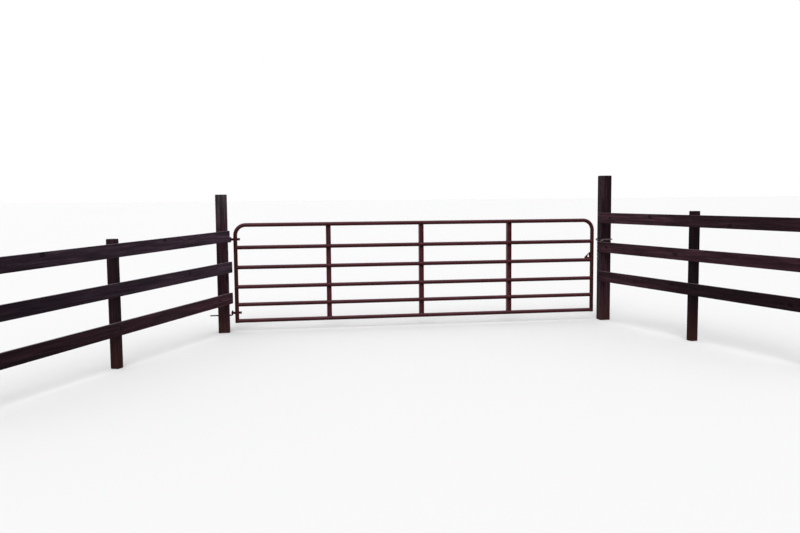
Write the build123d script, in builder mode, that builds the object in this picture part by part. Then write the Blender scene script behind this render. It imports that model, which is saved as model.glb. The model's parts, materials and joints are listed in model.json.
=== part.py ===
"""Tubular steel farm gate between two timber gate posts, with a board fence wing on each side.

Millimetres, +Z up. The origin is the middle of the hinge post's foot. +X runs along the closed
gate to the latch post and +Y points into the field. The wings come forward, along -Y.
"""
from build123d import *
from math import ceil, cos, radians, sin, tan
import os

# Gate frame
gate_length = 4800.0
gate_height = 1270.0
tube_od = 50.0
tube_wall = 1.6
corner_radius = 130.0
rail_drops = (284.0, 537.0, 785.0, 1012.0)
bottom_rail_height = 140.0
weld_gap = 0.2

# Upright braces, roll-formed channel, placed by their share of the way between the end tubes
brace_shares = (0.2474, 0.5029, 0.7536)
brace_width = 60.0
brace_depth = 64.0
brace_wall = 3.0
brace_bend = 6.0

# Latch plate
plate_leg = 80.0
plate_thickness = 6.0
plate_nose = 12.0
keyhole_diameter = 24.0
keyhole_slot_width = 9.0
keyhole_slot_length = 22.0
keyhole_inset = 25.0

# Gate posts
gate_post = 140.0
hinge_post_height = 1746.0
latch_post_height = 1959.0
hinge_side_gap = 68.0
latch_side_gap = 78.0

# Hinges
top_hinge_drop = 179.0
bottom_hinge_rise = 106.0
pin_diameter = 19.0
pin_offset = 36.0
pin_bend = 14.0
pin_embed = 110.0
pin_above_strap = 14.0
pin_seat_gap = 0.3
pin_running_gap = 0.3
pin_hole_gap = 0.2
strap_height = 30.0
strap_thickness = 4.5
strap_slit = 2.0
strap_tail = 34.0
strap_root_radius = 5.0
bolt_diameter = 12.0
bolt_hole_gap = 0.25
bolt_head_across_flats = 19.0
bolt_head_height = 7.5
nut_height = 10.0
bolt_tip = 5.0

# Fence wings
fence_post = 89.0
post_above_board = 45.0
board_height = 140.0
board_thickness = 25.0
board_pitch = 393.0
bays = 2
left_flare_angle = 26.7
left_fall_angle = 0.85
left_bay = 2220.0
left_top_height = 1294.0
left_hinge_gaps = (49.0, 5.0, 7.5)
right_flare_angle = 12.0
right_fall_angle = 0.0
right_bay = 1750.0
right_top_height = 1462.0
right_overhangs = (50.0, 50.0, 50.0)

# Chain round the latch post
chain_above_board = 31.0
chain_wire = 5.5
chain_link_width = 24.0
chain_link_length = 38.0
chain_play = 0.55
chain_slack = 22.0
chain_corner_radius = 48.0
chain_end_drop = 23.5
chain_end_run = 14.0
chain_turn_down = 62.0
chain_tail = 290.0
link_turn_angle = 45.0
link_wire_sides = 8
link_end_bends = 4

# Places that follow from the sizes above
tube_radius = tube_od / 2
half_post = gate_post / 2
hinge_tube_x = half_post + hinge_side_gap + tube_radius
latch_tube_x = hinge_tube_x + gate_length - tube_od
latch_face_x = latch_tube_x + tube_radius + latch_side_gap
latch_post_x = latch_face_x + half_post
bottom_rail_z = bottom_rail_height
top_rail_z = bottom_rail_z + gate_height - tube_od
pin_x = half_post + pin_offset
pin_radius = pin_diameter / 2
hinge_heights = {
    "top": top_rail_z - top_hinge_drop,
    "bottom": bottom_rail_z + bottom_hinge_rise,
}

os.makedirs("parts", exist_ok=True)


def save(part, name):
    part.label = name
    export_step(part, f"parts/{name}.step")


# Gate frame: one tube bent over both upper corners, open at its square lower ends
with BuildPart() as gate_hoop:
    foot_z = bottom_rail_z - tube_radius
    with BuildLine(Plane.XZ):
        FilletPolyline(
            (hinge_tube_x, foot_z),
            (hinge_tube_x, top_rail_z),
            (latch_tube_x, top_rail_z),
            (latch_tube_x, foot_z),
            radius=corner_radius,
        )
    with BuildSketch(Plane((hinge_tube_x, 0, foot_z))):
        Circle(tube_radius)
        Circle(tube_radius - tube_wall, mode=Mode.SUBTRACT)
    sweep()
save(gate_hoop.part, "gate_hoop")


def make_rail(z):
    """A hollow rail between the end tubes, its ends coped to their round sides."""
    with BuildPart() as rail:
        with BuildSketch(Plane((hinge_tube_x, 0, z), x_dir=(0, 1, 0), z_dir=(1, 0, 0))):
            Circle(tube_radius)
            Circle(tube_radius - tube_wall, mode=Mode.SUBTRACT)
        extrude(amount=latch_tube_x - hinge_tube_x)
        with BuildSketch(Plane.XY.offset(z - tube_od)):
            with Locations((hinge_tube_x, 0), (latch_tube_x, 0)):
                Circle(tube_radius + weld_gap)
        extrude(amount=2 * tube_od, mode=Mode.SUBTRACT)
    return rail.part


rail_heights = [top_rail_z - drop for drop in rail_drops]
for number, z in enumerate(rail_heights, start=2):
    save(make_rail(z), f"rail_{number}")
save(make_rail(bottom_rail_z), "bottom_rail")


def make_brace(x):
    """A channel, open to the front, that the rails pass through and the outer rails saddle."""
    with BuildPart() as brace:
        with BuildSketch(Plane.XY.offset(bottom_rail_z)) as section:
            with Locations((x, 0)):
                Rectangle(brace_width, brace_depth)
            back_corners = section.vertices().group_by(Axis.Y)[-1]
            fillet(back_corners, brace_bend)
            with Locations((x, -brace_wall)):
                Rectangle(brace_width - 2 * brace_wall, brace_depth, mode=Mode.SUBTRACT)
        extrude(amount=top_rail_z - bottom_rail_z)
        with BuildSketch(Plane((x, 0, 0), x_dir=(0, 1, 0), z_dir=(1, 0, 0))):
            with Locations(*[(0, z) for z in (bottom_rail_z, *rail_heights, top_rail_z)]):
                Circle(tube_radius + weld_gap)
        extrude(amount=brace_width, both=True, mode=Mode.SUBTRACT)
    return brace.part


for number, share in enumerate(brace_shares, start=1):
    save(make_brace(hinge_tube_x + share * (latch_tube_x - hinge_tube_x)), f"brace_{number}")


# Latch plate: a gusset in the corner above rail 3, with a keyhole for the chain
with BuildPart() as latch_plate:
    plate_x = latch_tube_x - tube_radius - weld_gap
    plate_z = rail_heights[1] + tube_radius + weld_gap
    with BuildSketch(Plane.XZ.offset(-plate_thickness / 2)):
        with BuildLine():
            Polyline(
                (plate_x, plate_z),
                (plate_x, plate_z + plate_leg),
                (plate_x - plate_nose, plate_z + plate_leg),
                (plate_x - plate_leg, plate_z + plate_nose),
                (plate_x - plate_leg, plate_z),
                close=True,
            )
        make_face()
        with Locations((plate_x - keyhole_inset, plate_z + keyhole_inset)):
            Circle(keyhole_diameter / 2, mode=Mode.SUBTRACT)
        with Locations((plate_x - keyhole_inset, plate_z + keyhole_inset)):
            Rectangle(
                keyhole_slot_width,
                keyhole_diameter / 2 + keyhole_slot_length,
                align=(Align.CENTER, Align.MIN),
                mode=Mode.SUBTRACT,
            )
    extrude(amount=plate_thickness)
save(latch_plate.part, "latch_plate")


# Gate posts: the hinge post is bored for the two hinge pins
with BuildPart() as hinge_post:
    with BuildSketch():
        Rectangle(gate_post, gate_post)
    extrude(amount=hinge_post_height)
    pin_drop = strap_height / 2 + pin_seat_gap + pin_bend
    with BuildSketch(Plane((half_post, 0, 0), x_dir=(0, 1, 0), z_dir=(1, 0, 0))):
        with Locations(*[(0, z - pin_drop) for z in hinge_heights.values()]):
            Circle(pin_radius + pin_hole_gap)
    extrude(amount=-pin_embed, mode=Mode.SUBTRACT)
save(hinge_post.part, "hinge_post")

with BuildPart() as latch_post:
    with BuildSketch(Plane((latch_post_x, 0, 0))):
        Rectangle(gate_post, gate_post)
    extrude(amount=latch_post_height)
save(latch_post.part, "latch_post")


def make_pin(z):
    """A hook of round bar: its shank is driven into the post and its pin stands upright."""
    shank_z = z - pin_drop
    pin_top = z + strap_height / 2 + pin_above_strap
    with BuildPart() as pin:
        with BuildLine(Plane.XZ):
            FilletPolyline(
                (half_post - pin_embed, shank_z),
                (pin_x, shank_z),
                (pin_x, pin_top),
                radius=pin_bend,
            )
        with BuildSketch(Plane((half_post - pin_embed, 0, shank_z), x_dir=(0, 1, 0), z_dir=(1, 0, 0))):
            Circle(pin_radius)
        sweep()
    return pin.part


strap_eye_radius = pin_radius + pin_running_gap
clamp_radius = tube_radius + weld_gap
tail_start = hinge_tube_x + clamp_radius
bolt_x = tail_start + strap_thickness + (strap_tail - strap_thickness) / 2
tail_width = 2 * strap_thickness + strap_slit


def make_strap(z):
    """A strap bent round the pin, closed on the end tube and bolted behind it."""
    with BuildPart() as strap:
        with BuildSketch(Plane.XY.offset(z - strap_height / 2)) as outline:
            with Locations((pin_x, 0)):
                Circle(strap_eye_radius + strap_thickness)
            with Locations((hinge_tube_x, 0)):
                Circle(clamp_radius + strap_thickness)
            with Locations((pin_x, 0)):
                Rectangle(
                    tail_start + strap_tail - pin_x, tail_width, align=(Align.MIN, Align.CENTER)
                )
            inner_corners = [
                corner
                for corner in outline.vertices()
                if corner.X < tail_start + strap_tail - strap_thickness
            ]
            fillet(inner_corners, strap_root_radius)
            with Locations((pin_x, 0)):
                Circle(strap_eye_radius, mode=Mode.SUBTRACT)
                Rectangle(
                    tail_start + 2 * strap_tail - pin_x,
                    strap_slit,
                    align=(Align.MIN, Align.CENTER),
                    mode=Mode.SUBTRACT,
                )
            with Locations((hinge_tube_x, 0)):
                Circle(clamp_radius, mode=Mode.SUBTRACT)
        extrude(amount=strap_height)
        with BuildSketch(Plane.XZ):
            with Locations((bolt_x, z)):
                Circle(bolt_diameter / 2 + bolt_hole_gap)
        extrude(amount=tail_width, both=True, mode=Mode.SUBTRACT)
    return strap.part


def make_bolt(z):
    """The bolt that draws the strap's two leaves together, with its nut behind."""
    hex_radius = bolt_head_across_flats / 2
    with BuildPart() as bolt:
        with BuildSketch(Plane.XZ.offset(tail_width / 2)):
            with Locations((bolt_x, z)):
                RegularPolygon(hex_radius, 6, major_radius=False)
        extrude(amount=bolt_head_height)
        with BuildSketch(Plane.XZ.offset(tail_width / 2)):
            with Locations((bolt_x, z)):
                Circle(bolt_diameter / 2)
        extrude(amount=-(tail_width + nut_height + bolt_tip))
        with BuildSketch(Plane.XZ.offset(-tail_width / 2)):
            with Locations((bolt_x, z)):
                RegularPolygon(hex_radius, 6, major_radius=False)
        extrude(amount=-nut_height)
    return bolt.part


for place, z in hinge_heights.items():
    save(make_pin(z), f"hinge_pin_{place}")
    save(make_strap(z), f"hinge_strap_{place}")
    save(make_bolt(z), f"hinge_bolt_{place}")


def make_wing(side, corner_x, flare_angle, fall_angle, bay, top_height, overhangs):
    """One fence wing: posts behind, and three long boards nailed to their driveway faces."""
    outward = -1 if side == "left" else 1
    along = Vector(outward * sin(radians(flare_angle)), -cos(radians(flare_angle)), 0)
    slope = Vector(along.X, along.Y, -tan(radians(fall_angle))).normalized()
    corner = Vector(corner_x, -half_post, 0)
    to_back = Vector(along.Y, -along.X, 0) * -outward

    for number in range(1, bays + 1):
        distance = number * bay
        centre = corner + along * distance + to_back * (fence_post / 2)
        height = top_height - distance * tan(radians(fall_angle)) + post_above_board
        with BuildPart() as post:
            with BuildSketch(Plane(centre, x_dir=along, z_dir=(0, 0, 1))):
                Rectangle(fence_post, fence_post)
            extrude(amount=height)
        save(post.part, f"{side}_post_{number}")

    length = (bays * bay + fence_post / 2) / cos(radians(fall_angle))
    for number, (place, overhang) in enumerate(zip(("top", "middle", "bottom"), overhangs)):
        start = corner + Vector(0, 0, top_height - number * board_pitch)
        with BuildPart() as board:
            with BuildSketch(Plane(start, x_dir=slope, z_dir=-to_back)):
                with Locations(((length - overhang) / 2, -outward * board_height / 2)):
                    Rectangle(length + overhang, board_height)
            extrude(amount=board_thickness)
        save(board.part, f"{side}_board_{place}")


# The left boards run on past the hinge post's corner and stop short of the hinges' eyes
flare = radians(left_flare_angle)
corner_to_eye = pin_offset * sin(flare) + half_post * cos(flare) - strap_eye_radius - strap_thickness
left_overhangs = [corner_to_eye - gap for gap in left_hinge_gaps]

make_wing(
    "left",
    half_post,
    left_flare_angle,
    left_fall_angle,
    left_bay,
    left_top_height,
    left_overhangs,
)
make_wing(
    "right",
    latch_face_x,
    right_flare_angle,
    right_fall_angle,
    right_bay,
    right_top_height,
    right_overhangs,
)


# Chain: it lies round the latch post just above the right wing's middle board
chain_height = right_top_height - board_pitch + chain_above_board


def chain_joints():
    """The points where one link hooks into the next.

    The chain's end rests on the middle board. From there it goes round the post, then down in
    the gap.
    """
    left, right = latch_face_x - chain_slack, latch_face_x + gate_post + chain_slack
    front, back = -half_post - chain_slack, half_post + chain_slack
    turn_y = chain_turn_down - half_post
    pitch = chain_link_length - 2 * chain_wire - chain_play
    with BuildLine() as route:
        FilletPolyline(
            (left, front, chain_height - chain_end_drop),
            (latch_face_x + chain_end_run, front, chain_height),
            (right, front, chain_height),
            (right, back, chain_height),
            (left, back, chain_height),
            (left, turn_y, chain_height),
            (left, turn_y, chain_height - chain_tail),
            radius=chain_corner_radius,
        )
    path = route.wires()[0]
    millimetres = ceil(path.length)
    joints = [path @ 0]
    for millimetre in range(1, millimetres):
        point = path @ (millimetre / millimetres)
        if (point - joints[-1]).length >= pitch:
            joints.append(joints[-1] + (point - joints[-1]).normalized() * pitch)
    return joints


def link_planes(joints):
    """One plane a link, each a quarter turn about the chain from the link before it."""
    across = Vector(0, 0, 1)
    planes = []
    for number, (start, end) in enumerate(zip(joints, joints[1:])):
        along = (end - start).normalized()
        across = (across - along * across.dot(along)).normalized()
        turn = link_turn_angle if number % 2 else -link_turn_angle
        normal = across.rotate(Axis((0, 0, 0), along), turn)
        planes.append(Plane((start + end) / 2, x_dir=along, z_dir=normal))
    return planes


# Half a link, of eight-sided wire with a few even bends round its end, then its mirror image
with BuildPart() as link:
    bend_radius = (chain_link_width - chain_wire) / 2
    half_run = (chain_link_length - chain_wire) / 2 - bend_radius
    bend_angle = 180 / link_end_bends
    first_corner = Vector(0, bend_radius / cos(radians(bend_angle / 2))).rotate(Axis.Z, -bend_angle / 2)
    corners = [
        Vector(half_run, 0) + first_corner.rotate(Axis.Z, -bend_angle * bend)
        for bend in range(link_end_bends)
    ]
    with BuildLine():
        Polyline((0, bend_radius), *corners, (0, -bend_radius))
    with BuildSketch(Plane((0, bend_radius, 0), x_dir=(0, 1, 0), z_dir=(1, 0, 0))):
        RegularPolygon(chain_wire / 2, link_wire_sides, rotation=180 / link_wire_sides)
    sweep(transition=Transition.RIGHT)
    mirror(about=Plane.YZ)

with BuildPart() as chain:
    with Locations(*link_planes(chain_joints())):
        add(link.part)
save(chain.part, "chain")
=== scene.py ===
"""Dresses the farm gate, its posts and its fence wings, and sets the floor, lights and camera.

Metres, in the object's frame: the origin is the middle of the hinge post's foot, +X runs along
the closed gate, +Y points into the field and +Z is up.
"""
import json
import random
from dataclasses import dataclass
from math import cos, hypot, pi, radians, sin

import bpy
import numpy as np
from mathutils import Matrix, Vector, noise


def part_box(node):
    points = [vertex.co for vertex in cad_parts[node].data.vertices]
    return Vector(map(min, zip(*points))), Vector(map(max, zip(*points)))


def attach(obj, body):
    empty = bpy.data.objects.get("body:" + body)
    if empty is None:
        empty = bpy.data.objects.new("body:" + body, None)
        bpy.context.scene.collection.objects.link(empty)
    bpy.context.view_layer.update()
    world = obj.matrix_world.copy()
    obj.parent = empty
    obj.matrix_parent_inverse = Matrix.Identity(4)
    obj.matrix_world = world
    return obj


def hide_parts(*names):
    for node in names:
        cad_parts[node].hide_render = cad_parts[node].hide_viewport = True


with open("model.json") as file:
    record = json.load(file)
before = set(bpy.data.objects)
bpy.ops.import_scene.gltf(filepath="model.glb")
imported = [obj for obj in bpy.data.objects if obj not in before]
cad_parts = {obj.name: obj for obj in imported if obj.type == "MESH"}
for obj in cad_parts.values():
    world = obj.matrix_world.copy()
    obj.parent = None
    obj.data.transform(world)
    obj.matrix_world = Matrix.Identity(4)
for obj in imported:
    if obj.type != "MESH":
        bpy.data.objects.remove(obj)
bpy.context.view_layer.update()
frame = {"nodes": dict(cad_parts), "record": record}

FIXED = "posts_and_fence"
SWINGING = "gate"
SIDES = ("left", "right")
LEVELS = ("top", "middle", "bottom")
BRACES = ("brace_1", "brace_2", "brace_3")
UP = Vector((0, 0, 1))
MM = 0.001

# Sizes of the real gate that the frame's boxes don't give
tube_radius = 25 * MM
plate_half_thickness = 3 * MM
chain_wire_radius = 2.6 * MM
chain_bend_radius = 9.25 * MM
chain_half_run = 7 * MM

# Timber: how close its points lie, its rounded edges, its worn faces and its sawn ends
point_spacing = 6 * MM
section_spacing = 16 * MM
post_arris_radius = 5 * MM
board_arris_radius = 3 * MM
arris_steps = 4
end_chamfer = 2 * MM
weathering_depth = 1.1 * MM
broad_wear_per_metre = (2.2, 55)
fine_wear_per_metre = (9, 170)
end_rings = 9
end_hollow = 1.4 * MM
end_middle_hollow = 1 * MM
end_wear_per_metre = 60
growth_ring = 5.5 * MM

# Cracks in the timber
crack_half_gap = 0.3 * MM
crack_opens_by = 1.6 * MM
crack_wander = 4 * MM
crack_bends_per_metre = 3.1
crack_rags_per_metre = 14
crack_longest_taper = 0.25

# Nails: each ring's height and radius, and where they stand, as shares of a board's height
nail_profile = ((0, 3.6 * MM), (1.2 * MM, 4.3 * MM), (2.0 * MM, 3.9 * MM), (2.4 * MM, 2 * MM))
nail_sunk = 1.2 * MM
nail_places = (-0.3, 0.02, 0.3)
nail_scatter_along = 14 * MM
nail_scatter_up = 0.04

# Welds
rail_bead_radius = 2.6 * MM
thin_bead_radius = 2.2 * MM
bead_ripple = 0.16
bead_ripple_turn = 1.9
bead_unevenness = 0.12
bead_unevenness_per_metre = 300
weld_steps = 40
weld_turns = [2 * pi * step / weld_steps for step in range(weld_steps)]

# Colours, where tones run from the darkest to the lightest
post_tones = ((0.011, 0.0036, 0.0054), (0.026, 0.0106, 0.0158), (0.06, 0.033, 0.041))
# Painted reflection: the sky's purple sheen on the wet faces of the left boards
purple_sheen_tones = ((0.0105, 0.0055, 0.0095), (0.022, 0.0125, 0.0205), (0.044, 0.028, 0.04))
brown_tones = ((0.012, 0.0045, 0.007), (0.025, 0.0105, 0.015), (0.052, 0.025, 0.032))
rail_tones = ((0.026, 0.0025, 0.0035), (0.037, 0.004, 0.006), (0.052, 0.007, 0.011))
# The braces' red, lighter than the rails': painted light for the shaded inside of their channels
brace_tones_with_painted_light = ((0.072, 0.014, 0.019), (0.095, 0.02, 0.028), (0.118, 0.028, 0.038))
iron_tones = ((0.022, 0.014, 0.012), (0.05, 0.034, 0.028))
zinc_tones = ((0.12, 0.095, 0.1), (0.3, 0.255, 0.27))
# Weathered grey of upper faces, which is also a painted sheen of the sky on their wet tops
worn_grey_and_sheen = (0.16, 0.135, 0.15)
soil_brown = (0.034, 0.012, 0.008)

# How light or dark each timber is drawn, at shares of its length from its foot or from the gate: partly
# its own weathered tone, partly painted shade, darkest where the boards shade right_post_1
timber_tone_and_shade = {
    "hinge_post": ((0, 1.4), (0.2, 0.95), (0.7, 0.95), (0.95, 2.2)),
    "latch_post": ((0, 1.5), (0.4, 0.85), (0.6, 0.6), (1, 0.6)),
    "left_post_1": ((0, 0.8), (0.7, 0.55), (1, 0.8)),
    "left_post_2": ((0, 0.8), (1, 0.8)),
    "right_post_1": ((0, 0.5), (0.3, 0.3), (0.8, 0.25), (1, 0.5)),
    "right_post_2": ((0, 0.6), (1, 0.4)),
    "left_board_top": ((0, 2.0), (0.35, 1.5), (0.8, 1.15)),
    "left_board_middle": ((0, 2.0), (0.35, 1.3), (0.8, 0.7)),
    "left_board_bottom": ((0, 1.7), (0.3, 1.5), (0.45, 1.0), (0.8, 0.6)),
    "right_board_top": ((0, 1.5), (0.3, 1.5), (0.45, 1.0), (0.6, 0.85)),
    "right_board_middle": ((0, 1.4), (0.8, 1.4), (1, 1.1)),
    "right_board_bottom": ((0, 1.1), (0.3, 1.1), (0.45, 0.5)),
}


# Shader nodes


def add_node(tree, kind, inputs=None, **settings):
    """A shader node with its settings; each input is a plain value or another node's output."""
    node = tree.nodes.new(kind)
    for name, value in settings.items():
        setattr(node, name, value)
    for name, value in (inputs or {}).items():
        if isinstance(value, bpy.types.NodeSocket):
            tree.links.new(value, node.inputs[name])
        else:
            node.inputs[name].default_value = value
    return node


def new_material(name):
    """A material with only its shader and output; returns it, its tree and its shader."""
    material = bpy.data.materials.new(name)
    material.use_nodes = True
    tree = material.node_tree
    tree.nodes.clear()
    shader = tree.nodes.new("ShaderNodeBsdfPrincipled")
    output = tree.nodes.new("ShaderNodeOutputMaterial")
    tree.links.new(shader.outputs["BSDF"], output.inputs["Surface"])
    return material, tree, shader


def stretched(tree, turn, feature):
    """Object coordinates turned about Z and divided by a feature's size along each axis."""
    coordinates = add_node(tree, "ShaderNodeTexCoord").outputs["Object"]
    settings = {"Vector": coordinates, "Rotation": (0, 0, turn), "Scale": feature}
    return add_node(tree, "ShaderNodeMapping", settings, vector_type="TEXTURE").outputs["Vector"]


def even_features(tree, size):
    """Object coordinates divided by a feature's size, the same along every axis."""
    return stretched(tree, 0, (size, size, size))


def noise_of(tree, vector, detail, roughness, distortion=0.0):
    """Noise with features of size one in the coordinates that it is given."""
    settings = {
        "Vector": vector,
        "Scale": 1.0,
        "Detail": detail,
        "Roughness": roughness,
        "Distortion": distortion,
    }
    return add_node(tree, "ShaderNodeTexNoise", settings).outputs["Fac"]


def ramp(tree, value, stops):
    """A colour ramp; each stop is its place and a grey level or a colour."""
    node = add_node(tree, "ShaderNodeValToRGB", {"Fac": value})
    elements = node.color_ramp.elements
    while len(elements) < len(stops):
        elements.new(0.5)
    for element, (place, colour) in zip(elements, stops):
        element.position = place
        grey = isinstance(colour, (int, float))
        element.color = (colour, colour, colour, 1) if grey else (*colour, 1)
    return node.outputs["Color"]


def mix(tree, factor, first, second, blend="MIX"):
    """Two colours mixed by a factor; each of the three is a value or another node's output."""
    node = add_node(tree, "ShaderNodeMix", data_type="RGBA", blend_type=blend)
    # The node has sockets of the same names for numbers, so its colour sockets go by their place
    factor_socket, first_socket, second_socket = (node.inputs[place] for place in (0, 6, 7))
    for socket, value in ((factor_socket, factor), (first_socket, first), (second_socket, second)):
        if isinstance(value, bpy.types.NodeSocket):
            tree.links.new(value, socket)
        elif socket == factor_socket:
            socket.default_value = value
        else:
            socket.default_value = (*value, 1)
    return node.outputs[2]


def tint(tree, colour, by, strength=1.0):
    """A colour multiplied by a grey level or another colour."""
    return mix(tree, strength, colour, by, "MULTIPLY")


def math_of(tree, operation, *values):
    """A sum on numbers; each is a plain value or another node's output."""
    node = add_node(tree, "ShaderNodeMath", operation=operation)
    for socket, value in zip(node.inputs, values):
        if isinstance(value, bpy.types.NodeSocket):
            tree.links.new(value, socket)
        else:
            socket.default_value = value
    return node.outputs[0]


def share_between(tree, value, none, full):
    """0 where a value is at or before none, 1 where it is at or past full."""
    settings = {"Value": value, "From Min": none, "From Max": full}
    return add_node(tree, "ShaderNodeMapRange", settings).outputs["Result"]


def attribute_of(tree, name):
    """A number that the mesh holds at its points."""
    return add_node(tree, "ShaderNodeAttribute", attribute_name=name).outputs["Fac"]


def upright_part(tree, vector):
    """A vector's part along Z."""
    return add_node(tree, "ShaderNodeSeparateXYZ", {"Vector": vector}).outputs["Z"]


def upward(tree, low, high):
    """0 on sides and undersides, 1 where the surface faces up."""
    normal = add_node(tree, "ShaderNodeNewGeometry").outputs["Normal"]
    return share_between(tree, upright_part(tree, normal), low, high)


def height_in_object(tree):
    """Height above the foot of the posts."""
    return upright_part(tree, add_node(tree, "ShaderNodeTexCoord").outputs["Object"])


def set_bump(tree, shader, layers):
    """Chains bump nodes; each layer is its height, its strength and its depth in metres."""
    last = None
    for height, strength, distance in layers:
        settings = {"Height": height, "Strength": strength, "Distance": distance}
        bump = add_node(tree, "ShaderNodeBump", settings)
        if last:
            tree.links.new(last, bump.inputs["Normal"])
        last = bump.outputs["Normal"]
    tree.links.new(last, shader.inputs["Normal"])


# Materials


def end_grain(tree, grain):
    """1 on a timber's sawn ends, and its growth rings as a value from 0 to 1."""
    normal = add_node(tree, "ShaderNodeNewGeometry").outputs["Normal"]
    dot = add_node(tree, "ShaderNodeVectorMath", operation="DOT_PRODUCT")
    tree.links.new(normal, dot.inputs[0])
    dot.inputs[1].default_value = grain
    facing = math_of(tree, "ABSOLUTE", dot.outputs["Value"])
    mask = ramp(tree, facing, ((0.72, 0.0), (0.9, 1.0)))
    phase = math_of(tree, "MULTIPLY", attribute_of(tree, "pith"), 2 * pi / growth_ring)
    rings = math_of(tree, "MULTIPLY_ADD", math_of(tree, "SINE", phase), 0.5, 0.5)
    return mask, rings


def weathered_post(tree, colour, tone_and_shade, patches):
    """A post's colour, bleached where its tone_and_shade value is highest and brown with soil at its
    foot.
    """
    bleached = share_between(tree, tone_and_shade, 1.2, 2.2)
    settings = {
        "Color": colour,
        "Saturation": math_of(tree, "MULTIPLY_ADD", bleached, -0.6, 1.0),
        "Value": math_of(tree, "MULTIPLY_ADD", bleached, -0.25, 1.0),
    }
    colour = add_node(tree, "ShaderNodeHueSaturation", settings).outputs["Color"]
    splash = math_of(tree, "MULTIPLY_ADD", patches, 0.6, height_in_object(tree))
    soil = ramp(tree, splash, ((0.25, 0.85), (0.75, 0.0)))
    return mix(tree, soil, colour, soil_brown)


def wood_material(name, grain, tones):
    """Wet, weathered timber. The grain runs straight up in a post and level in a board."""
    material, tree, shader = new_material(name)
    upright = grain.z > 0.5
    turn = 0 if upright else -Vector((1, 0)).angle_signed(grain.xy)

    def features(along, across):
        """Coordinates counted in features of this length along the grain and width across it."""
        return stretched(tree, turn, (across, across, along) if upright else (along, across, across))

    knot_coordinates = {"Vector": features(along=0.3, across=0.16), "Scale": 1.0}
    knots = add_node(tree, "ShaderNodeTexVoronoi", knot_coordinates).outputs["Distance"]
    bend = math_of(tree, "MULTIPLY", share_between(tree, knots, 0.26, 0.04), 1.3)
    flow = add_node(tree, "ShaderNodeVectorMath", operation="ADD")
    tree.links.new(features(along=0.55, across=0.016), flow.inputs[0])
    tree.links.new(bend, flow.inputs[1])
    streaks = noise_of(tree, flow.outputs["Vector"], detail=6, roughness=0.62, distortion=0.4)
    fibres = noise_of(tree, features(along=0.09, across=0.0022), detail=4, roughness=0.6)
    patches = noise_of(
        tree, features(along=0.6, across=0.09), detail=4, roughness=0.55, distortion=0.6
    )

    colour = ramp(tree, streaks, tuple(zip((0.3, 0.5, 0.7), tones)))
    knot_tone = ramp(tree, knots, ((0.05, 0.55), (0.085, 0.2), (0.1, 0.3), (0.15, 1.0)))
    colour = tint(tree, colour, knot_tone)
    stain = ramp(tree, patches, ((0.35, 0.62), (0.6, 1.25)))
    colour = tint(tree, colour, stain)
    # The timber's tone along its length, which partly holds painted shade
    tone_and_shade = attribute_of(tree, "tone_and_shade")
    colour = tint(tree, colour, tone_and_shade)
    if upright:
        colour = weathered_post(tree, colour, tone_and_shade, patches)
    hairlines = ramp(tree, fibres, ((0.33, 0.35), (0.45, 1.0)))
    colour = tint(tree, colour, hairlines, 0.8)
    # Painted shade: the surface darkens down into the cracks, to a quarter of its colour at 1.5 mm deep
    free_of_crack_shade = share_between(tree, attribute_of(tree, "crack"), 1.5 * MM, 0.0)
    colour = tint(tree, colour, math_of(tree, "MULTIPLY_ADD", free_of_crack_shade, 0.75, 0.25))
    end_mask, rings = end_grain(tree, grain)
    ring_tone = ramp(tree, rings, ((0.2, (0.03, 0.018, 0.016)), (0.8, (0.085, 0.058, 0.052))))
    colour = mix(tree, end_mask, colour, ring_tone)
    # Upward faces turn grey: weathering, and a painted sheen of the sky on the wet tops
    exposed_and_sheen = math_of(tree, "MULTIPLY", upward(tree, 0.45, 0.95), 0.75)
    exposed_and_sheen = math_of(tree, "MULTIPLY", exposed_and_sheen, math_of(tree, "MULTIPLY_ADD", end_mask, -0.6, 1.0))
    exposed_and_sheen = math_of(tree, "MULTIPLY", exposed_and_sheen, free_of_crack_shade)
    colour = mix(tree, exposed_and_sheen, colour, worn_grey_and_sheen)
    tree.links.new(colour, shader.inputs["Base Color"])

    wetness = ramp(tree, patches, ((0.3, 0.5), (0.7, 0.8)))
    tree.links.new(wetness, shader.inputs["Roughness"])
    shader.inputs["Specular IOR Level"].default_value = 0.04
    set_bump(tree, shader, ((streaks, 0.5, 3 * MM), (fibres, 0.45, 1.2 * MM)))
    return material


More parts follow.
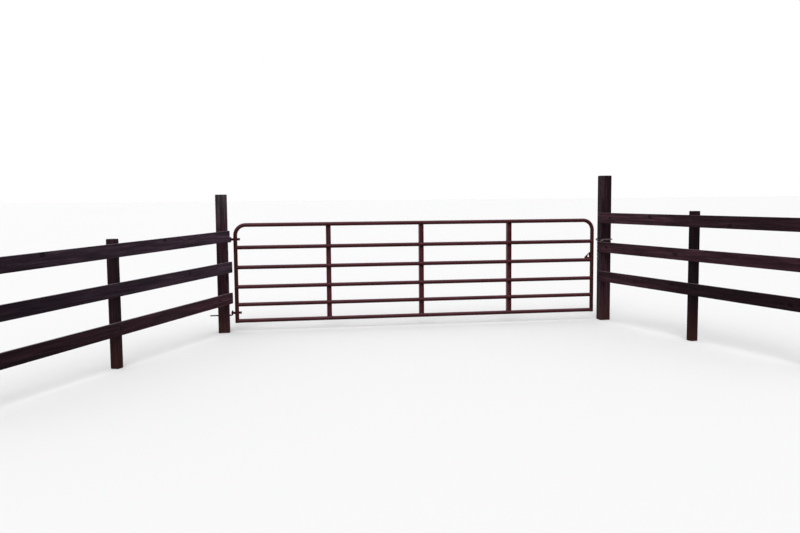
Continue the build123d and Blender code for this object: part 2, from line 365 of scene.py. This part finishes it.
def paint_material(name, tones, brown_below=None, rust_from=0.655):
    """Dark red enamel on steel: faded in patches, lightened pink on top as a painted highlight of the
    sky, and rusting at small chips.

    Below a height, where one is given, running water has stained it brown. The lower rust_from
    is, the more of it has rusted.
    """
    # Painted highlight: the pink of the sky reflected on upward faces
    sky_highlight_pink = (0.15, 0.07, 0.09)
    brown_stain = (0.75, 0.95, 0.55)
    rust = (0.075, 0.03, 0.014)
    rust_roughness = (0.85, 0.85, 0.85)

    material, tree, shader = new_material(name)
    patch_size = (0.35, 0.12, 0.25)
    patches = noise_of(
        tree, stretched(tree, 0, patch_size), detail=4, roughness=0.55, distortion=0.5
    )
    mottle = noise_of(tree, even_features(tree, 30 * MM), detail=5, roughness=0.6)
    chips = noise_of(tree, even_features(tree, 11 * MM), detail=3, roughness=0.7)
    colour = ramp(tree, patches, tuple(zip((0.3, 0.52, 0.72), tones)))
    colour = tint(tree, colour, ramp(tree, mottle, ((0.3, 0.8), (0.7, 1.15))))
    if brown_below:
        reach = math_of(tree, "MULTIPLY_ADD", patches, 0.12, height_in_object(tree))
        stained = share_between(tree, reach, brown_below + 60 * MM, brown_below - 60 * MM)
        colour = tint(tree, colour, brown_stain, stained)
    # Painted highlight: upward faces turn towards pink, where the sky reflects
    sky_highlight = math_of(tree, "MULTIPLY", upward(tree, 0.1, 0.9), 0.55)
    colour = mix(tree, sky_highlight, colour, sky_highlight_pink)
    rust_mask = ramp(tree, chips, ((rust_from, 0.0), (rust_from + 0.04, 1.0)))
    colour = mix(tree, rust_mask, colour, rust)
    tree.links.new(colour, shader.inputs["Base Color"])
    gloss = ramp(tree, mottle, ((0.3, 0.32), (0.7, 0.5)))
    tree.links.new(mix(tree, rust_mask, gloss, rust_roughness), shader.inputs["Roughness"])
    shader.inputs["Specular IOR Level"].default_value = 0.11
    set_bump(tree, shader, ((mottle, 0.12, 1 * MM), (chips, 0.15, 0.6 * MM)))
    return material


def metal_material(name, tones, metallic, roughness):
    """Bare iron or zinc that has dulled and rusted in spots."""
    material, tree, shader = new_material(name)
    patches = noise_of(tree, even_features(tree, 20 * MM), detail=5, roughness=0.6)
    grains = noise_of(tree, even_features(tree, 4 * MM), detail=4, roughness=0.65)
    colour = ramp(tree, patches, tuple(zip((0.35, 0.65), tones)))
    colour = tint(tree, colour, ramp(tree, grains, ((0.35, 0.65), (0.65, 1.15))))
    tree.links.new(colour, shader.inputs["Base Color"])
    rough = ramp(tree, grains, ((0.3, roughness - 0.12), (0.7, roughness + 0.12)))
    tree.links.new(rough, shader.inputs["Roughness"])
    shader.inputs["Metallic"].default_value = metallic
    set_bump(tree, shader, ((grains, 0.35, 0.8 * MM),))
    return material


# Meshes


def new_object(name, vertices, faces, material, body):
    """A smooth-shaded mesh piece that rides on a body and takes a slot's finish."""
    mesh = bpy.data.meshes.new(name)
    mesh.from_pydata(vertices, [], faces)
    mesh.polygons.foreach_set("use_smooth", [True] * len(mesh.polygons))
    mesh.set_sharp_from_angle(angle=radians(40))
    mesh.materials.append(material)
    mesh.update()
    piece = bpy.data.objects.new(name, mesh)
    bpy.context.scene.collection.objects.link(piece)
    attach(piece, body)
    return piece


class Shapes:
    """Vertices and faces of many small shapes that end up in one mesh."""

    def __init__(self):
        self.vertices = []
        self.faces = []

    def skin(self, rings, closed=False):
        """Faces over rings of vertices, each ring anticlockwise seen from the one after it."""
        first = len(self.vertices)
        count, sides = len(rings), len(rings[0])
        self.vertices += [tuple(vertex) for ring in rings for vertex in ring]
        for ring in range(count if closed else count - 1):
            near = first + ring * sides
            far = first + (ring + 1) % count * sides
            for side in range(sides):
                beside = (side + 1) % sides
                self.faces.append((near + side, near + beside, far + beside, far + side))
        if not closed:
            last = first + (count - 1) * sides
            self.faces.append(tuple(first + side for side in reversed(range(sides))))
            self.faces.append(tuple(last + side for side in range(sides)))

    def tube(self, points, normals, radii, sides=8, closed=False):
        """A round tube through points; each normal fixes where its ring of vertices starts."""
        rings = []
        count = len(points)
        turns = [2 * pi * side / sides for side in range(sides)]
        for index, (point, normal) in enumerate(zip(points, normals)):
            before = points[index - 1] if closed or index else point
            after = points[(index + 1) % count] if closed or index < count - 1 else point
            tangent = (after - before).normalized()
            across = tangent.cross(normal).normalized()
            outward = across.cross(tangent)
            rings.append([point + (outward * cos(t) + across * sin(t)) * radii[index] for t in turns])
        self.skin(rings, closed)

    def turned(self, base, axis, profile, sides=12, pitch=None, ridge=0.0):
        """A solid of revolution; the profile lists each ring's height on the axis and radius.

        With a pitch it also carries a screw thread, whose ridge is a share of the radius.
        """
        side_way = axis.orthogonal().normalized()
        other_way = axis.cross(side_way)
        rings = []
        for height, radius in profile:
            ring = []
            for side in range(sides):
                turn = side / sides
                spoke = side_way * cos(2 * pi * turn) + other_way * sin(2 * pi * turn)
                phase = (height / pitch - turn) % 1 if pitch else 0
                # The ridge takes up the middle half of each pitch
                crest = max(0, 1 - 4 * abs(phase - 0.5))
                ring.append(base + axis * height + spoke * radius * (1 + ridge * crest))
            rings.append(ring)
        self.skin(rings)


# Timber


@dataclass
class Crack:
    """A long crack in one face of a timber: where it lies, where it runs and how deep it is."""

    face: int
    place: float
    start: float
    end: float
    depth: float
    seed: float

    def opening(self, station):
        """How far the crack is open at a station, from 0 to 1."""
        if not self.start < station < self.end:
            return 0.0
        taper = min(0.25 * (self.end - self.start), crack_longest_taper)
        rise = min((station - self.start) / taper, (self.end - station) / taper, 1.0)
        ragged = 0.75 + 0.25 * noise.noise(Vector((station * crack_rags_per_metre, self.seed, 0)))
        return rise * ragged

    def middle(self, station):
        """Where across the face the crack is at a station, since it wanders a little."""
        bend = noise.noise(Vector((station * crack_bends_per_metre, self.seed, 7)))
        return self.place + crack_wander * bend


def face_line(width, arris, cracks, station):
    """Places across one face at a station, each with its depth: grid points and open cracks."""
    line = []
    left = arris
    nominal_left = arris
    for crack in sorted(cracks, key=lambda crack: crack.place):
        opening = crack.opening(station)
        middle = crack.middle(station)
        half_gap = crack_half_gap + crack_opens_by * opening
        count = max(1, round((crack.place - nominal_left) / point_spacing))
        for step in range(count):
            line.append((left + (middle - half_gap - left) * step / count, 0.0))
        line.append((middle - half_gap, 0.0))
        line.append((middle, crack.depth * opening))
        left = middle + half_gap
        nominal_left = crack.place
    count = max(1, round((width - arris - nominal_left) / point_spacing))
    for step in range(count + 1):
        line.append((left + (width - arris - left) * step / count, 0.0))
    return line


def wear(station, point, seed):
    """How much of the surface the weather has taken at a point of a section."""
    along, across = broad_wear_per_metre
    broad = noise.noise(Vector((station * along, point.x * across, point.y * across + seed)))
    along, across = fine_wear_per_metre
    fine = noise.noise(Vector((station * along, point.x * across, point.y * across - seed)))
    return weathering_depth * (0.5 + 0.3 * broad + 0.2 * fine)


def section(sides, arris, cracks, station, seed):
    """One closed line of points round a timber at a station, and how deep in a crack each lies.

    The points are in the timber's own two cross directions.
    """
    half_a, half_b = sides[0] / 2, sides[1] / 2
    corners = ((-half_a, half_b), (half_a, half_b), (half_a, -half_b), (-half_a, -half_b))
    ways = ((1, 0), (0, -1), (-1, 0), (0, 1))
    points = []
    for face in range(4):
        corner, way = Vector(corners[face]), Vector(ways[face])
        outward = Vector((-way.y, way.x))
        width = sides[face % 2]
        own = [crack for crack in cracks if crack.face == face]
        for place, depth in face_line(width, arris, own, station):
            points.append((corner + way * place, outward, depth))
        centre = corner + way * (width - arris) - outward * arris
        for step in range(1, arris_steps):
            angle = pi / 2 * step / arris_steps
            spoke = outward * cos(angle) + way * sin(angle)
            points.append((centre + spoke * arris, spoke, 0.0))
    loop = [
        point - outward * (wear(station, point, seed) + depth) for point, outward, depth in points
    ]
    return loop, [depth for _, _, depth in points]


def add_cap(vertices, faces, ring, outward, seed, far):
    """Closes a timber's sawn end with rings of faces, sunk a little where the grain has opened."""
    border = [vertices[index] for index in ring]
    middle = sum(border, Vector()) / len(border)
    last = list(ring)
    for step in range(1, end_rings):
        share = 1 - step / end_rings
        current = []
        for point in border:
            spot = middle + (point - middle) * share
            worn = noise.noise(spot * end_wear_per_metre + Vector((seed, 0, 0)))
            sink = end_hollow * (0.5 + 0.5 * worn)
            current.append(len(vertices))
            vertices.append(spot - outward * sink)
        for index in range(len(last)):
            beside = (index + 1) % len(last)
            quad = (last[index], current[index], current[beside], last[beside])
            faces.append(quad if far else tuple(reversed(quad)))
        last = current
    centre = len(vertices)
    vertices.append(middle - outward * end_middle_hollow)
    for index in range(len(last)):
        beside = (index + 1) % len(last)
        triangle = (last[index], centre, last[beside])
        faces.append(triangle if far else tuple(reversed(triangle)))


def timber(node, place, seed, cracks, arris, material, pith):
    """Replaces a post or board by a worn, cracked length of wood.

    Place is the middle of its near end, its three directions and its size. Pith is where the
    tree's middle lay in its section.
    """
    start, (along, way_a, way_b), (length, side_a, side_b) = place
    stations = max(2, round(length / section_spacing))
    vertices = []
    crack_depths = []
    rings = []
    for index in range(stations + 1):
        station = length * index / stations
        loop, depths = section((side_a, side_b), arris, cracks, station, seed)
        if index in (0, stations):
            inset = 1 - 2 * end_chamfer / max(side_a, side_b)
            loop = [point * inset for point in loop]
        centre = start + along * station
        rings.append(range(len(vertices), len(vertices) + len(loop)))
        vertices += [centre + way_a * point.x + way_b * point.y for point in loop]
        crack_depths += depths
    faces = []
    for low, high in zip(rings, rings[1:]):
        for index in range(len(low)):
            beside = (index + 1) % len(low)
            faces.append((low[index], high[index], high[beside], low[beside]))
    add_cap(vertices, faces, rings[0], -along, seed, far=False)
    add_cap(vertices, faces, rings[-1], along, seed, far=True)

    piece = new_object(f"{node}_timber", vertices, faces, material, FIXED)
    spans = [vertex - start for vertex in vertices]
    # Tone and painted shade along each timber, from the table
    shares, tones = zip(*timber_tone_and_shade[node])
    point_values = {
        "pith": [hypot(span.dot(way_a) - pith[0], span.dot(way_b) - pith[1]) for span in spans],
        "tone_and_shade": np.interp([span.dot(along) / length for span in spans], shares, tones),
        "crack": crack_depths + [0.0] * (len(vertices) - len(crack_depths)),
    }
    for attribute, values in point_values.items():
        piece.data.attributes.new(attribute, "FLOAT", "POINT").data.foreach_set("value", values)
    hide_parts(node)


def straight_solid(node):
    """A straight CAD solid's middle and its three sides, longest first."""
    corners = {tuple(round(c, 5) for c in v.co) for v in frame["nodes"][node].data.vertices}
    corners = [Vector(corner) for corner in sorted(corners)]
    middle = sum(corners, Vector()) / len(corners)
    spans = sorted((corner - corners[0] for corner in corners[1:]), key=lambda span: span.length)
    # Third comes the short face's diagonal, so the longest side is fourth
    short, medium, _, long = spans[:4]
    return middle, long, medium, short


def upright_place(node):
    """Where a post's timber goes. The two gate posts are square to the axes, the others aren't."""
    if node in ("hinge_post", "latch_post"):
        low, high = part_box(node)
        size = high - low
        foot = Vector(((low.x + high.x) / 2, (low.y + high.y) / 2, low.z))
        return foot, (UP, Vector((1, 0, 0)), Vector((0, 1, 0))), (size.z, size.x, size.y)
    middle, long, medium, short = straight_solid(node)
    foot = Vector((middle.x, middle.y, middle.z - long.length / 2))
    side_a = Vector((medium.x, medium.y, 0)).normalized()
    side_b = UP.cross(side_a)
    return foot, (UP, side_a, side_b), (long.length, medium.length, short.length)


def board_place(node):
    """Where a board's timber goes: from its end at the gate, up its height and through it."""
    middle, long, medium, short = straight_solid(node)
    along = long.normalized() * (-1 if long.y > 0 else 1)
    up = medium.normalized() * (-1 if medium.z < 0 else 1)
    through = along.cross(up).normalized()
    start = middle - along * long.length / 2
    return start, (along, up, through), (long.length, medium.length, short.length)


def random_cracks(dice, length, sides, per_face, longest, depth, edge):
    """Cracks at chance places on all faces but the narrow ones, kept away from the corners."""
    cracks = []
    for face in range(4):
        width = sides[face % 2]
        if width < 3 * edge:
            continue
        count = dice.choice(per_face)
        share = (width - 2 * edge) / count
        for index in range(count):
            run = dice.uniform(0.25, 1.0) * longest
            start = dice.uniform(-0.1, max(0.1, length - run))
            place = edge + share * (index + 0.5) + dice.uniform(-0.1, 0.1) * share
            deep = dice.uniform(0.5, 1.0) * depth
            cracks.append(Crack(face, place, start, start + run, deep, dice.uniform(0, 100)))
    return cracks


def dress_posts(dice):
    """Replaces every post by worn timber with its grain upright."""
    wood = wood_material("post_wood_surface", UP, post_tones)
    fence_posts = [f"{side}_post_{number}" for side in SIDES for number in (1, 2)]
    for number, node in enumerate(["hinge_post", "latch_post", *fence_posts]):
        place = upright_place(node)
        length, *sides = place[2]
        cracks = random_cracks(
            dice, length, sides, per_face=(1, 2, 2), longest=1.1, depth=11 * MM, edge=22 * MM
        )
        pith = [dice.uniform(-0.2, 0.2) * side for side in sides]
        timber(node, place, 10.0 * number, cracks, post_arris_radius, wood, pith)


def dress_boards(dice):
    """Replaces every board by worn timber. The upper two on the left are drawn purple, a painted
    reflection of the sky on their wet faces.
    """
    for side in SIDES:
        along = board_place(f"{side}_board_top")[1][0]
        brown = wood_material(f"{side}_brown_boards", along, brown_tones)
        woods = [brown, brown, brown]
        if side == "left":
            # The upper two left boards carry the painted purple reflection of the sky
            woods[:2] = [wood_material("left_purple_sheen_boards", along, purple_sheen_tones)] * 2
        for number, (level, wood) in enumerate(zip(LEVELS, woods)):
            node = f"{side}_board_{level}"
            place = board_place(node)
            length, *sides = place[2]
            cracks = random_cracks(
                dice, length, sides, per_face=(1, 2), longest=0.9, depth=6 * MM, edge=20 * MM
            )
            pith = (dice.uniform(-0.3, 0.3) * sides[0], -3 * sides[1])
            seed = 70.0 + 10 * number
            timber(node, place, seed, cracks, board_arris_radius, wood, pith)


def dress_nails(steel):
    """Three nails in each board at each post it crosses, driven in from the drive."""
    for side, gate_post, random_seed in (("left", "hinge_post", 31), ("right", "latch_post", 32)):
        low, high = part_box(gate_post)
        # Boards cross a gate post at its front corner on the gate's side
        corner = Vector((high.x if side == "left" else low.x, low.y, 0))
        crossings = [corner] + [upright_place(f"{side}_post_{number}")[0] for number in (1, 2)]
        shapes = Shapes()
        dice = random.Random(random_seed)
        for level in LEVELS:
            start, (along, up, through), (_, height, thickness) = board_place(f"{side}_board_{level}")
            to_drive = through if side == "right" else -through
            face = start + to_drive * (thickness / 2 - nail_sunk)
            for crossing in crossings:
                distance = (crossing - start).dot(along)
                for place in nail_places:
                    reach = distance + dice.uniform(-nail_scatter_along, nail_scatter_along)
                    rise = height * (place + dice.uniform(-nail_scatter_up, nail_scatter_up))
                    shapes.turned(face + along * reach + up * rise, to_drive, nail_profile)
        new_object(f"{side}_nails", shapes.vertices, shapes.faces, steel, FIXED)


# Welds on the gate


def add_bead(shapes, points, normals, radius, dice, closed=True):
    """A weld bead with its ripples along a line of points."""
    phase = dice.uniform(0, 10)
    radii = []
    for index, point in enumerate(points):
        ripple = bead_ripple * sin(index * bead_ripple_turn + phase)
        unevenness = bead_unevenness * noise.noise(point * bead_unevenness_per_metre)
        radii.append(radius * (1 + ripple + unevenness))
    shapes.tube(points, normals, radii, sides=6, closed=closed)


def weld_rail_ends(shapes, dice, rail_heights, tube_xs):
    """Beads round the rails where they meet the two end tubes, curved with the tubes."""
    for z in rail_heights:
        for tube_x, inward in zip(tube_xs, (1, -1)):
            points, normals = [], []
            for turn in weld_turns:
                reach = inward * abs(sin(turn))
                radial = Vector((0, cos(turn), sin(turn)))
                from_tube = Vector((reach, cos(turn), 0))
                points.append(Vector((tube_x + tube_radius * reach, 0, z)) + radial * tube_radius)
                normals.append((radial + from_tube).normalized())
            add_bead(shapes, points, normals, rail_bead_radius, dice)


def weld_braces(shapes, dice, rail_heights, top_z):
    """Beads round the rails that pass through the braces, and half round those at their ends."""
    *passing, bottom_z = rail_heights
    off_middle = 0.05
    lower_half = [turn for turn in weld_turns if sin(turn) < -off_middle]
    upper_half = [turn for turn in weld_turns if sin(turn) > off_middle]
    met = [(top_z, lower_half), *((z, weld_turns) for z in passing), (bottom_z, upper_half)]
    for brace in BRACES:
        low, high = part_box(brace)
        for z, turns in met:
            for face_x, outward in ((low.x, -1), (high.x, 1)):
                points = [
                    Vector((face_x, tube_radius * cos(turn), z + tube_radius * sin(turn)))
                    for turn in turns
                ]
                normals = [Vector((outward, cos(turn), sin(turn))).normalized() for turn in turns]
                closed = len(turns) == weld_steps
                add_bead(shapes, points, normals, thin_bead_radius, dice, closed)


def weld_latch_plate(shapes, dice):
    """Beads on both faces of the latch plate, along the rail under it and the tube beside it."""
    steps = 14
    from_toe = 8 * MM
    above_rail = 2 * MM
    below_top = 6 * MM
    low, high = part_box("latch_plate")
    for side in (-1, 1):
        y = side * plate_half_thickness
        legs = (
            (Vector((low.x + from_toe, y, low.z)), Vector((high.x, y, low.z))),
            (Vector((high.x, y, low.z + above_rail)), Vector((high.x, y, high.z - below_top))),
        )
        for first, last in legs:
            points = [first.lerp(last, step / steps) for step in range(steps + 1)]
            normals = [Vector((0, side, 0))] * len(points)
            add_bead(shapes, points, normals, thin_bead_radius, dice, closed=False)


def dress_welds(paint):
    """All the gate's weld beads, as one piece."""
    shapes = Shapes()
    dice = random.Random(5)
    low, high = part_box("gate_hoop")
    rails = ("rail_2", "rail_3", "rail_4", "rail_5", "bottom_rail")
    rail_heights = [sum(corner.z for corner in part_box(rail)) / 2 for rail in rails]
    weld_rail_ends(shapes, dice, rail_heights, (low.x + tube_radius, high.x - tube_radius))
    weld_braces(shapes, dice, rail_heights, high.z - tube_radius)
    weld_latch_plate(shapes, dice)
    new_object("gate_welds", shapes.vertices, shapes.faces, paint, SWINGING)


# Chain


def solids_of(node):
    """The separate solids of a CAD node, each as its points."""
    mesh = frame["nodes"][node].data
    number_at = {}
    index_of = []
    points = []
    for vertex in mesh.vertices:
        place = tuple(round(c, 5) for c in vertex.co)
        if place not in number_at:
            number_at[place] = len(points)
            points.append(vertex.co.copy())
        index_of.append(number_at[place])
    leader = list(range(len(points)))

    def find(index):
        """The point that leads the group a point is in."""
        while leader[index] != index:
            leader[index] = leader[leader[index]]
            index = leader[index]
        return index

    for polygon in mesh.polygons:
        first = find(index_of[polygon.vertices[0]])
        for vertex in polygon.vertices[1:]:
            leader[find(index_of[vertex])] = first
    groups = {}
    for index, point in enumerate(points):
        groups.setdefault(find(index), []).append(point)
    return list(groups.values())


def link_frames():
    """Each link's middle, its long way and its wide way."""
    frames = []
    for points in solids_of("chain"):
        cloud = np.array([tuple(point) for point in points])
        middle = cloud.mean(0)
        _, _, ways = np.linalg.svd(cloud - middle)
        frames.append((Vector(middle), Vector(ways[0]), Vector(ways[1])))
    return frames


def dress_chain(frames, zinc):
    """Round welded links in place of the plain ones."""
    steps = 10
    shapes = Shapes()
    for middle, along, across in frames:
        points, normals = [], []
        for end in (1, -1):
            for step in range(steps + 1):
                angle = pi / 2 - pi * step / steps
                spoke = along * (end * cos(angle)) + across * (end * sin(angle))
                points.append(middle + along * (end * chain_half_run) + spoke * chain_bend_radius)
                normals.append(spoke)
        radii = [chain_wire_radius] * len(points)
        shapes.tube(points, normals, radii, sides=10, closed=True)
    links = new_object("chain_links", shapes.vertices, shapes.faces, zinc, FIXED)
    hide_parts("chain")


def add_staple(shapes, middle, wood_y):
    """A staple over a link whose middle is given, with its two legs in the post's front face."""
    bar = 2 * MM
    bend = 4 * MM
    half_height = 13 * MM
    turns = [pi / 2 * step / 5 for step in range(6)]
    upper, lower = (
        [
            middle + Vector((0, bend * (1 - sin(turn)), side * (half_height - bend + bend * cos(turn))))
            for turn in turns
        ]
        for side in (1, -1)
    )
    into_wood = Vector((0, wood_y - upper[0].y, 0))
    points = [upper[0] + into_wood, *upper, *reversed(lower), lower[0] + into_wood]
    shapes.tube(points, [Vector((1, 0, 0))] * len(points), [bar] * len(points))


def add_chain_nail(shapes, link, wood_x):
    """A nail through a link whose middle is given, driven into the post's side."""
    stands_off = 13 * MM
    shank = 2.2 * MM
    head = link - Vector((stands_off, 0, 0))
    length = wood_x - head.x
    profile = ((0, 3.5 * MM), (0.8 * MM, 5 * MM), (2 * MM, 5 * MM), (2.4 * MM, shank), (length, shank))
    shapes.turned(head, Vector((1, 0, 0)), profile)


def dress_chain_fixings(frames, steel):
    """A staple over a link on the latch post's front, and a nail through one on its gate side."""
    staple_from_edge = 45 * MM
    side_half_run = 30 * MM
    bite = 6 * MM
    low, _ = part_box("latch_post")
    middles = [middle for middle, _, _ in frames]
    front = [spot for spot in middles if spot.y < low.y]
    beside = [spot for spot in middles if spot.x < low.x and abs(spot.y) < side_half_run]
    stapled = min(front, key=lambda spot: abs(spot.x - low.x - staple_from_edge))
    nailed = max(beside, key=lambda spot: spot.z)
    shapes = Shapes()
    add_staple(shapes, stapled, low.y + bite)
    add_chain_nail(shapes, nailed, low.x + bite)
    new_object("chain_fixings", shapes.vertices, shapes.faces, steel, FIXED)


# Gate and hinges


def dress_gate(paint, hoop_paint, lit_brace_paint, steel):
    """Gives the gate's own pieces their finish. The braces get a lighter red than the rails, painted
    light that lifts the shaded inside of their channels.
    """
    slots = {row["node"]: row["material_slot"] for row in frame["record"]["subparts"]}
    finishes = {"gate_paint": paint, "hinge_steel": steel}
    own = {"gate_hoop": hoop_paint, **dict.fromkeys(BRACES, lit_brace_paint)}
    for node, piece in frame["nodes"].items():
        finish = own.get(node, finishes.get(slots[node]))
        if finish:
            for slot in piece.material_slots:
                slot.material = finish


def dress_pin_ends(steel):
    """The hooks' screw ends, which have come through the hinge post and stand out behind it."""
    stands_out = 112 * MM
    inside = 8 * MM
    length = stands_out + inside
    root = 7.6 * MM
    ridge = 0.25
    pitch = 5.6 * MM
    rings_per_pitch = 6
    tip = 20 * MM
    tip_share = 0.12
    count = round(length / pitch * rings_per_pitch)
    profile = []
    for index in range(count + 1):
        height = length * index / count
        narrowing = min(1, tip_share + (1 - tip_share) * (length - height) / tip)
        profile.append((height, root * narrowing))
    start_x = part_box("hinge_post")[0].x + inside
    shapes = Shapes()
    for pin in ("hinge_pin_top", "hinge_pin_bottom"):
        low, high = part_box(pin)
        shank_z = low.z + (high.y - low.y) / 2
        start = Vector((start_x, 0, shank_z))
        shapes.turned(start, Vector((-1, 0, 0)), profile, sides=20, pitch=pitch, ridge=ridge)
    new_object("hinge_pin_ends", shapes.vertices, shapes.faces, steel, FIXED)


# Floor, light and camera


def add_floor():
    """A pale floor that shows near white, but throws back no more light than grass does."""
    shown = (0.73, 0.73, 0.72)
    thrown_back = (0.27, 0.25, 0.2)
    half_size = 400
    material, tree, shader = new_material("pale_floor")
    path = add_node(tree, "ShaderNodeLightPath")
    colour = mix(tree, path.outputs["Is Diffuse Ray"], shown, thrown_back)
    tree.links.new(colour, shader.inputs["Base Color"])
    shader.inputs["Roughness"].default_value = 0.9
    shader.inputs["Specular IOR Level"].default_value = 0.1
    corners = [(x * half_size, y * half_size, 0) for x, y in ((-1, -1), (1, -1), (1, 1), (-1, 1))]
    mesh = bpy.data.meshes.new("floor")
    mesh.from_pydata(corners, [], [(0, 1, 2, 3)])
    mesh.materials.append(material)
    floor = bpy.data.objects.new("floor", mesh)
    bpy.context.scene.collection.objects.link(floor)


def set_sky():
    """An even sky, brightest overhead, that shows as plain white itself and in reflections."""
    world = bpy.data.worlds.new("overcast")
    bpy.context.scene.world = world
    world.use_nodes = True
    tree = world.node_tree
    tree.nodes.clear()
    height = upright_part(tree, add_node(tree, "ShaderNodeTexCoord").outputs["Generated"])
    sky = ramp(tree, height, ((0.0, (0.72, 0.72, 0.74)), (0.9, (1.0, 1.0, 1.03))))
    path = add_node(tree, "ShaderNodeLightPath")
    shown = math_of(tree, "MAXIMUM", path.outputs["Is Camera Ray"], path.outputs["Is Glossy Ray"])
    shown = math_of(tree, "MAXIMUM", shown, path.outputs["Is Transmission Ray"])
    colour = mix(tree, shown, sky, (1.0, 1.0, 1.0))
    background = add_node(tree, "ShaderNodeBackground", {"Color": colour, "Strength": 1.0})
    output = add_node(tree, "ShaderNodeOutputWorld")
    tree.links.new(background.outputs["Background"], output.inputs["Surface"])


def add_lamp(name, energy, spread, tilt, turn):
    """A soft, distant lamp; its spread and the two turns of its direction are in degrees."""
    lamp = bpy.data.lights.new(name, "SUN")
    lamp.energy = energy
    lamp.angle = radians(spread)
    sun = bpy.data.objects.new(name, lamp)
    sun.rotation_euler = (radians(tilt), 0, radians(turn))
    bpy.context.scene.collection.objects.link(sun)


def set_camera():
    """The photograph's viewpoint: eye height on the drive, left of the gate's middle."""
    eye = Vector((0.5445, -10.5568, 1.7019))
    yaw, pitch, roll = radians(9.281), radians(4.877), radians(-0.499)
    forward = Vector((sin(yaw) * cos(pitch), cos(yaw) * cos(pitch), -sin(pitch)))
    level = Vector((cos(yaw), -sin(yaw), 0))
    raised = level.cross(forward)
    right = level * cos(roll) + raised * sin(roll)
    up = raised * cos(roll) - level * sin(roll)
    camera = bpy.data.objects.new("camera", bpy.data.cameras.new("camera"))
    camera.data.lens = 36.9
    camera.data.sensor_width = 36
    turn = Matrix((right, up, -forward)).transposed().to_4x4()
    camera.matrix_world = Matrix.Translation(eye) @ turn
    bpy.context.scene.collection.objects.link(camera)
    bpy.context.scene.camera = camera
    bpy.context.scene.view_settings.view_transform = "Standard"


set_camera()
add_floor()
set_sky()
add_lamp("soft_sun", energy=1.75, spread=35, tilt=52, turn=-16)
add_lamp("low_fill_from_the_field", energy=0.45, spread=60, tilt=-75, turn=20)

enamel = paint_material("gate_enamel", rail_tones)
hoop_enamel = paint_material("hoop_enamel", rail_tones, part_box("gate_hoop")[1].z - 100 * MM)
# A lighter copy of the enamel, painted light for the braces' shaded channels
lit_brace_enamel = paint_material("lit_brace_enamel", brace_tones_with_painted_light)
weld_enamel = paint_material("weld_enamel", rail_tones, rust_from=0.5)
iron = metal_material("dark_iron", iron_tones, metallic=0.3, roughness=0.62)
zinc = metal_material("dull_zinc", zinc_tones, metallic=0.75, roughness=0.5)

timber_dice = random.Random(7)
dress_posts(timber_dice)
dress_boards(timber_dice)
dress_nails(iron)
dress_gate(enamel, hoop_enamel, lit_brace_enamel, iron)
dress_pin_ends(iron)
dress_welds(weld_enamel)
chain_frames = link_frames()
dress_chain(chain_frames, zinc)
dress_chain_fixings(chain_frames, iron)
